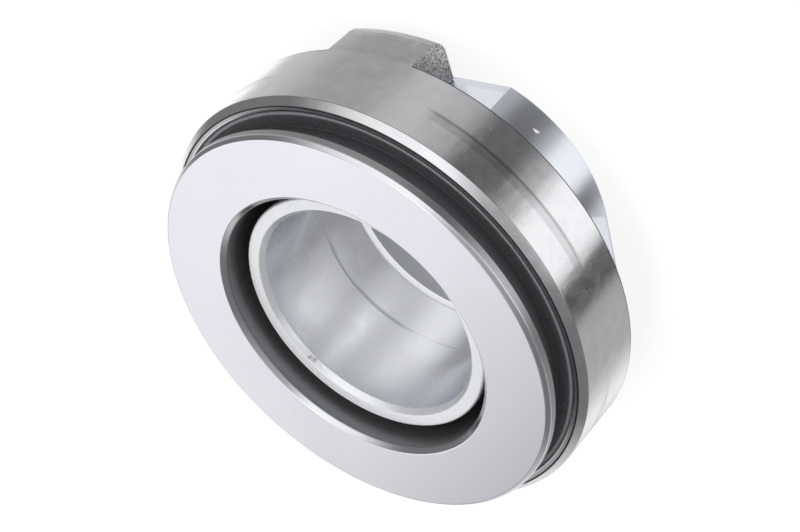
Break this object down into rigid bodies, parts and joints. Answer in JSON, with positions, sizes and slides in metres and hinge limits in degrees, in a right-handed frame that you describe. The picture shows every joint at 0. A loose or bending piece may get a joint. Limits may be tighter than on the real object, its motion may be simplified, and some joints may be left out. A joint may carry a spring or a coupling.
{
  "type": "clutch release bearing",
  "caption": "Self-centring clutch release bearing: flat contact ring that turns on caged balls, in a lugged housing on a plated guide sleeve with a flatted rear flange.",
  "frame": {"origin": "centre of the guide bore, in the plane of the flange's rear face that the part stands on", "axes": "+Z along the bearing axis towards the contact face; the lugs lie on +Y and -Y"},
  "size_m": [0.0904, 0.0904, 0.0345],
  "materials": {
    "plated_steel": "bright zinc plate over fine turning",
    "turned_iron": "satin turned, lug sides as cast",
    "ground_steel": "fine ground face, turned rim",
    "bearing_steel": "polished",
    "spring_steel": "oiled, phosphated",
    "seal_rubber": "semi-gloss",
    "cage_polyamide": "moulded"
  },
  "bodies": {
    "guide_hub": {"guide_sleeve": "plated_steel", "disc_spring": "spring_steel", "snap_ring": "spring_steel"},
    "bearing_unit": {"housing": "turned_iron", "outer_race": "bearing_steel", "front_seal": "seal_rubber", "rear_shield": "spring_steel"},
    "thrust_ring": {"contact_ring": "ground_steel"},
    "ball_set": {"ball_cage": "cage_polyamide", "ball_01": "bearing_steel", "ball_02": "bearing_steel", "ball_03": "bearing_steel", "ball_04": "bearing_steel", "ball_05": "bearing_steel", "ball_06": "bearing_steel", "ball_07": "bearing_steel", "ball_08": "bearing_steel", "ball_09": "bearing_steel", "ball_10": "bearing_steel", "ball_11": "bearing_steel", "ball_12": "bearing_steel", "ball_13": "bearing_steel", "ball_14": "bearing_steel", "ball_15": "bearing_steel", "ball_16": "bearing_steel", "ball_17": "bearing_steel", "ball_18": "bearing_steel"}
  },
  "joints": [
    {"name": "centring_slide", "type": "slide", "parent": "guide_hub", "child": "bearing_unit", "axis": [1, 0, 0], "range_m": [-0.001, 0.001]},
    {"name": "ring_spin", "type": "hinge", "parent": "bearing_unit", "child": "thrust_ring", "pos_m": [0, 0, 0.0214], "axis": [0, 0, 1], "continuous": true},
    {"name": "cage_orbit", "type": "hinge", "parent": "bearing_unit", "child": "ball_set", "pos_m": [0, 0, 0.0214], "axis": [0, 0, 1], "continuous": true}
  ],
  "couplings": [
    {"joint": "cage_orbit", "follows": "ring_spin", "ratio": 0.43868}
  ]
}
